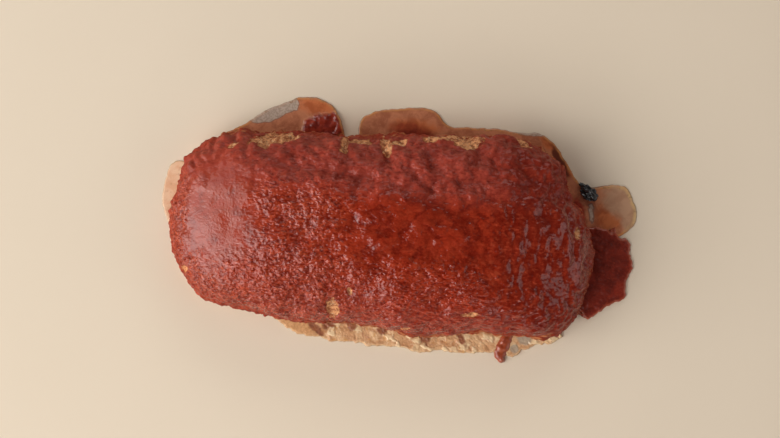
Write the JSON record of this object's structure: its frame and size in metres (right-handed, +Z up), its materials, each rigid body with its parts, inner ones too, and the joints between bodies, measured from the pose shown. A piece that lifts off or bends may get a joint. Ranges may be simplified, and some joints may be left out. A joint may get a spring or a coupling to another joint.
{
  "type": "meatloaf",
  "caption": "Whole hand-shaped meatloaf under a glossy red glaze, with the glaze and juices that set round its foot. Lies flat as served.",
  "frame": {"origin": "middle of the whole object's footprint, on the plane that the loaf lies on", "axes": "+X along the loaf towards the end with the dark glaze pool, +Y towards the lumpy back side, +Z up"},
  "size_m": [0.3138, 0.1582, 0.0581],
  "materials": {
    "glaze": "glossy, wrinkled, set ketchup glaze over browned meat",
    "glaze_run": "glossy dark red set glaze",
    "juice": "glossy brown set meat juice",
    "curd": "dull cream set fat and juice",
    "char": "half-glossy black, burnt"
  },
  "bodies": {
    "root": {"meatloaf": "glaze", "glaze_pool": "glaze_run", "juice_back": "juice", "juice_back_left": "juice", "juice_left": "curd", "curds_front": "curd", "charred_bit": "char"}
  },
  "joints": []
}
